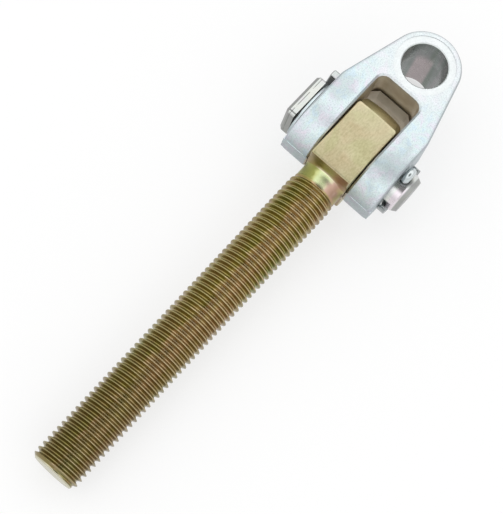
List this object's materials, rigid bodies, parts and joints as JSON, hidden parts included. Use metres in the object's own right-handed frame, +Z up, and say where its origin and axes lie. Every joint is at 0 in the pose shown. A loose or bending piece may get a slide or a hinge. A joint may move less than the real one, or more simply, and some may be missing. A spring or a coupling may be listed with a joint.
{
  "type": "clevis rod end",
  "caption": "Threaded rod end with a forged fork that swings on a headed pivot pin held by a split pin, and a plain eye at right angles to the pivot.",
  "frame": {"origin": "bottom of the part under the middle of its bounding box, as it lies on a flat surface", "axes": "+X along the part from the rod's free end towards the eye, +Y along the pivot pin towards its head, +Z up along the eye's bore"},
  "size_m": [0.3854, 0.0978, 0.06],
  "materials": {
    "rod_zinc": "yellow passivated zinc plate, iridescent",
    "fork_zinc": "bright zinc plate over a fine-grained forged skin",
    "pin_zinc": "bright zinc plate, turned",
    "split_pin_zinc": "bright zinc plate"
  },
  "bodies": {
    "rod": {"threaded_rod": "rod_zinc"},
    "fork": {"fork": "fork_zinc", "pivot_pin": "pin_zinc", "split_pin": "split_pin_zinc"}
  },
  "joints": [
    {"name": "fork_swivel", "type": "hinge", "parent": "rod", "child": "fork", "pos_m": [0.09968, 0.00038, 0.03], "axis": [0, 1, 0], "range_deg": [-127, 122]}
  ]
}
